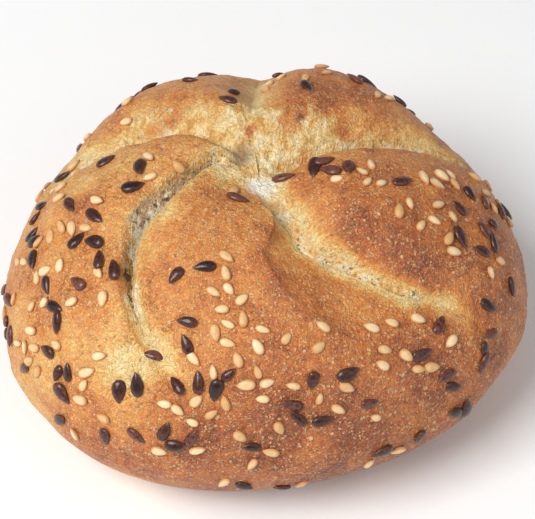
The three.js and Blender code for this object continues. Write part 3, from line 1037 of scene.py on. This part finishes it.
# Copies of one seed laid on the crust and joined.
def strewSeeds(kind, name, seeds, material, dice):
    shape = seedKinds[kind]
    model = modelSeed(name, shape)
    model.data.materials.append(material)
    copies = []
    for seed in seeds:
        if seed["kind"] != kind:
            continue
        copy = model.copy()
        copy.data = model.data.copy()
        bpy.context.collection.objects.link(copy)
        storeAttribute(copy.data, "tint", [next(dice)] * len(copy.data.vertices))
        lie = Vector((0, 0, 1)).rotation_difference(seed["normal"]).to_matrix().to_4x4()
        spin = Matrix.Rotation(seed["turn"], 4, "Z")
        roll = Matrix.Rotation((next(dice) - 0.5) * seedSways["roll"], 4, "X")
        pitch = Matrix.Rotation((next(dice) - 0.5) * seedSways["pitch"], 4, "Y")
        longer = 1 + seedSways["length"] * (next(dice) - 0.5)
        wider = 1 + seedSways["width"] * (next(dice) - 0.5)
        stretch = Matrix.Diagonal((longer, wider, 1, 1))
        surface = surfacePoint(seed)
        rise = (0.5 - shape["sink"]) * shape["thickness"] * seed["size"] * mm
        place = Matrix.Translation(surface + seed["normal"] * rise)
        copy.matrix_world = place @ lie @ spin @ roll @ pitch @ stretch @ Matrix.Scale(seed["size"], 4)
        copies.append(copy)
    bpy.data.objects.remove(model)
    bpy.ops.object.select_all(action="DESELECT")
    for copy in copies:
        copy.select_set(True)
    bpy.context.view_layer.objects.active = copies[0]
    bpy.ops.object.join()
    piece = bpy.context.object
    bpy.ops.object.transform_apply(location=True, rotation=True, scale=True)
    piece.name = name
    piece.data.name = name
    return piece


# The crust under a seed, found by looking straight down on it.
def surfacePoint(seed):
    start = (seed["point"] + seed["normal"] * seedSeenFrom) * mm
    hit, where, normal, face = crustPiece.ray_cast(start, -seed["normal"])
    return where if hit else seed["point"] * mm


def makeSeedMaterial(name, look):
    material = bpy.data.materials.new(name)
    material.use_nodes = True
    tree = material.node_tree
    shader = tree.nodes["Principled BSDF"]
    where = addNode(tree, "ShaderNodeTexCoord").outputs["Object"]
    mottle = noiseTexture(tree, where, look["mottleLength"], 3)
    shade = addUp(tree, attribute(tree, "tint"), sway(tree, mottle, 0.2, look["mottle"]))
    colour = colourRamp(tree, shade, look["colours"])
    tip = mapRange(tree, attribute(tree, "seedEnd"), 0.45, 1.0, 0, look["tipMix"])
    colour = mixColours(tree, tip, colour, look["tip"])
    # the sides of a seed below its top take the tip colour: painted shade
    sideShade = mapRange(tree, attribute(tree, "seedUp"), 0.8, 0.3, 0, look["sideShadeMix"])
    colour = mixColours(tree, sideShade, colour, look["tip"])
    tree.links.new(colour, shader.inputs["Base Color"])
    shader.inputs["Roughness"].default_value = look["roughness"]
    shader.inputs["Specular IOR Level"].default_value = look["shine"]
    shader.inputs["Coat Weight"].default_value = look["coat"]
    shader.inputs["Coat Roughness"].default_value = look["coatRoughness"]
    bumpInputs = {"Height": mottle, "Strength": look["bump"], "Distance": look["bumpHeight"] * mm}
    bump = addNode(tree, "ShaderNodeBump", bumpInputs)
    tree.links.new(bump.outputs[0], shader.inputs["Normal"])
    return material


sesameLook = {
    "colours": [(0.0, srgb(216, 166, 106)), (0.5, srgb(234, 197, 146)), (1.0, srgb(244, 217, 172))],
    "tip": srgb(198, 138, 84),
    "tipMix": 0.7,
    "sideShadeMix": 0.8,
    "mottle": 0.18,
    "mottleLength": 1.2,
    "shine": 0.45,
    "roughness": 0.45,
    "coat": 0.0,
    "coatRoughness": 0.12,
    "bump": 0.3,
    "bumpHeight": 0.15,
}
linseedLook = {
    "colours": [(0.0, srgb(30, 12, 12)), (0.6, srgb(68, 27, 23)), (1.0, srgb(110, 62, 50))],
    "tip": srgb(110, 70, 56),
    "tipMix": 0.5,
    "sideShadeMix": 0.3,
    "mottle": 0.3,
    "mottleLength": 0.6,
    "shine": 0.25,
    "roughness": 0.4,
    "coat": 0.5,
    "coatRoughness": 0.12,
    "bump": 1.0,
    "bumpHeight": 0.15,
}

print("strewing the seeds")
seeds = scatterSeeds()
extraDice = makeDice(977)
hulledSesame = makeSeedMaterial("hulledSesame", sesameLook)
darkLinseed = makeSeedMaterial("darkLinseed", linseedLook)
sesamePiece = strewSeeds("pale", "sesame_seeds", seeds, hulledSesame, extraDice)
linseedPiece = strewSeeds("dark", "linseeds", seeds, darkLinseed, extraDice)
print(len(seeds), "seeds")


# The roll moves over the origin as the solid does.
def centreOnSolid(pieces):
    corners = np.array([vertex for piece in pieces for vertex in boxOf(piece)])
    middle = (corners.min(axis=0) + corners.max(axis=0)) / 2
    target = (cadLow + cadHigh) / 2
    shift = Matrix.Translation((target.x - middle[0], target.y - middle[1], 0))
    for piece in pieces:
        piece.data.transform(shift)
    return shift.translation


def boxOf(piece):
    points = np.empty(len(piece.data.vertices) * 3)
    piece.data.vertices.foreach_get("co", points)
    points = points.reshape(-1, 3)
    return points.min(axis=0), points.max(axis=0)


shift = centreOnSolid([crustPiece, sesamePiece, linseedPiece])
print("shift", shift)

for piece, slotName in ((crustPiece, "crust"), (sesamePiece, "sesame_seed"), (linseedPiece, "linseed")):
    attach(piece, "root")
    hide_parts("seeded_roll")

print("setting the table and the lights")
stage = {
    "floorSize": 4.0,
    "floorColour": srgb(252, 252, 252),
    "worldColour": srgb(255, 255, 255),
    "worldStrength": 0.33,
    "keyPlace": (-0.45, -0.35, 0.75),
    "keySize": 0.5,
    "keyPower": 7.8,
    "fillPlace": (0.6, -0.5, 0.5),
    "fillSize": 0.8,
    "fillPower": 1.55,
    "litPlace": (0, 0, 0.03),
}
bpy.ops.object.select_all(action="DESELECT")
bpy.ops.mesh.primitive_plane_add(size=stage["floorSize"], location=(0, 0, 0))
floor = bpy.context.object
floor.name = "floor"
floorMaterial = bpy.data.materials.new("paleFloor")
floorMaterial.use_nodes = True
floorShader = floorMaterial.node_tree.nodes["Principled BSDF"]
floorShader.inputs["Base Color"].default_value = stage["floorColour"]
floorShader.inputs["Roughness"].default_value = 0.9
floor.data.materials.append(floorMaterial)


def addSoftLight(name, place, size, power):
    bpy.ops.object.light_add(type="AREA", location=place)
    light = bpy.context.object
    light.name = name
    light.data.size = size
    light.data.energy = power
    aim = Vector(stage["litPlace"]) - Vector(place)
    light.rotation_euler = aim.to_track_quat("-Z", "Y").to_euler()


addSoftLight("keyLight", stage["keyPlace"], stage["keySize"], stage["keyPower"])
addSoftLight("fillLight", stage["fillPlace"], stage["fillSize"], stage["fillPower"])
world = bpy.data.worlds.new("studio")
world.use_nodes = True
background = world.node_tree.nodes["Background"]
background.inputs["Color"].default_value = stage["worldColour"]
background.inputs["Strength"].default_value = stage["worldStrength"]
bpy.context.scene.world = world
bpy.context.scene.view_settings.view_transform = "Standard"

viewpoint = {"elevation": 50, "distance": 420, "target": (1.445, 4.085, 25), "lens": 130.6}
tilt = viewpoint["elevation"] * degree
target = Vector(viewpoint["target"]) * mm + shift
back = Vector((0, -math.cos(tilt), math.sin(tilt)))
eye = target + back * viewpoint["distance"] * mm
bpy.ops.object.camera_add(location=eye, rotation=(math.pi / 2 - tilt, 0, 0))
camera = bpy.context.object
camera.data.lens = viewpoint["lens"]
camera.data.sensor_width = 36
camera.data.clip_start = 0.01
bpy.context.scene.camera = camera
